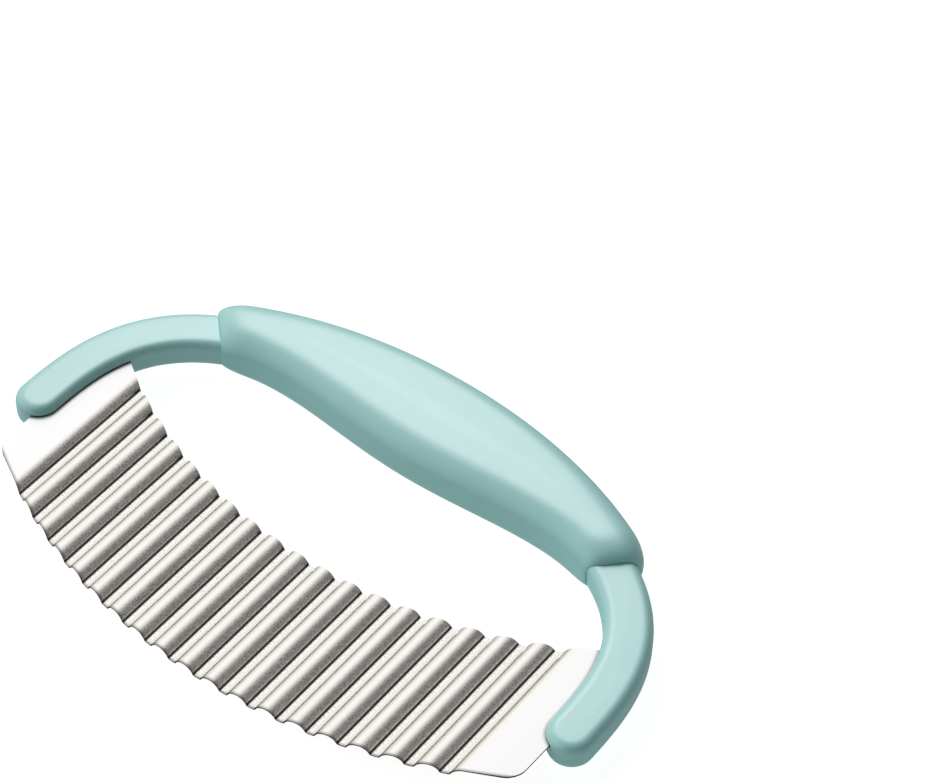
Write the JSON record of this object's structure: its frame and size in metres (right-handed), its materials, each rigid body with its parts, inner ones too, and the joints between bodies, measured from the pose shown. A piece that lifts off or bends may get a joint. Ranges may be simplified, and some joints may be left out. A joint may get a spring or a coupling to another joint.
{
  "type": "crinkle cutter",
  "caption": "Hand cutter with a curved, corrugated steel blade between the two arms of a moulded plastic bow, which carries a thick palm grip; it cuts vegetables into wavy slices.",
  "frame": {"origin": "under the middle of the bounding box, in the plane of the grip's lower flat face", "axes": "+X along the blade, +Y from the cutting edge to the grip, +Z square to the blade, with the tool lying flat and its bevel underneath"},
  "size_m": [0.1844, 0.1138, 0.016],
  "materials": {
    "steel": "polished stainless sheet",
    "plastic": "satin aqua moulding"
  },
  "bodies": {
    "root": {"blade": "steel", "bow_frame": "plastic", "grip_sleeve": "plastic"}
  },
  "joints": []
}
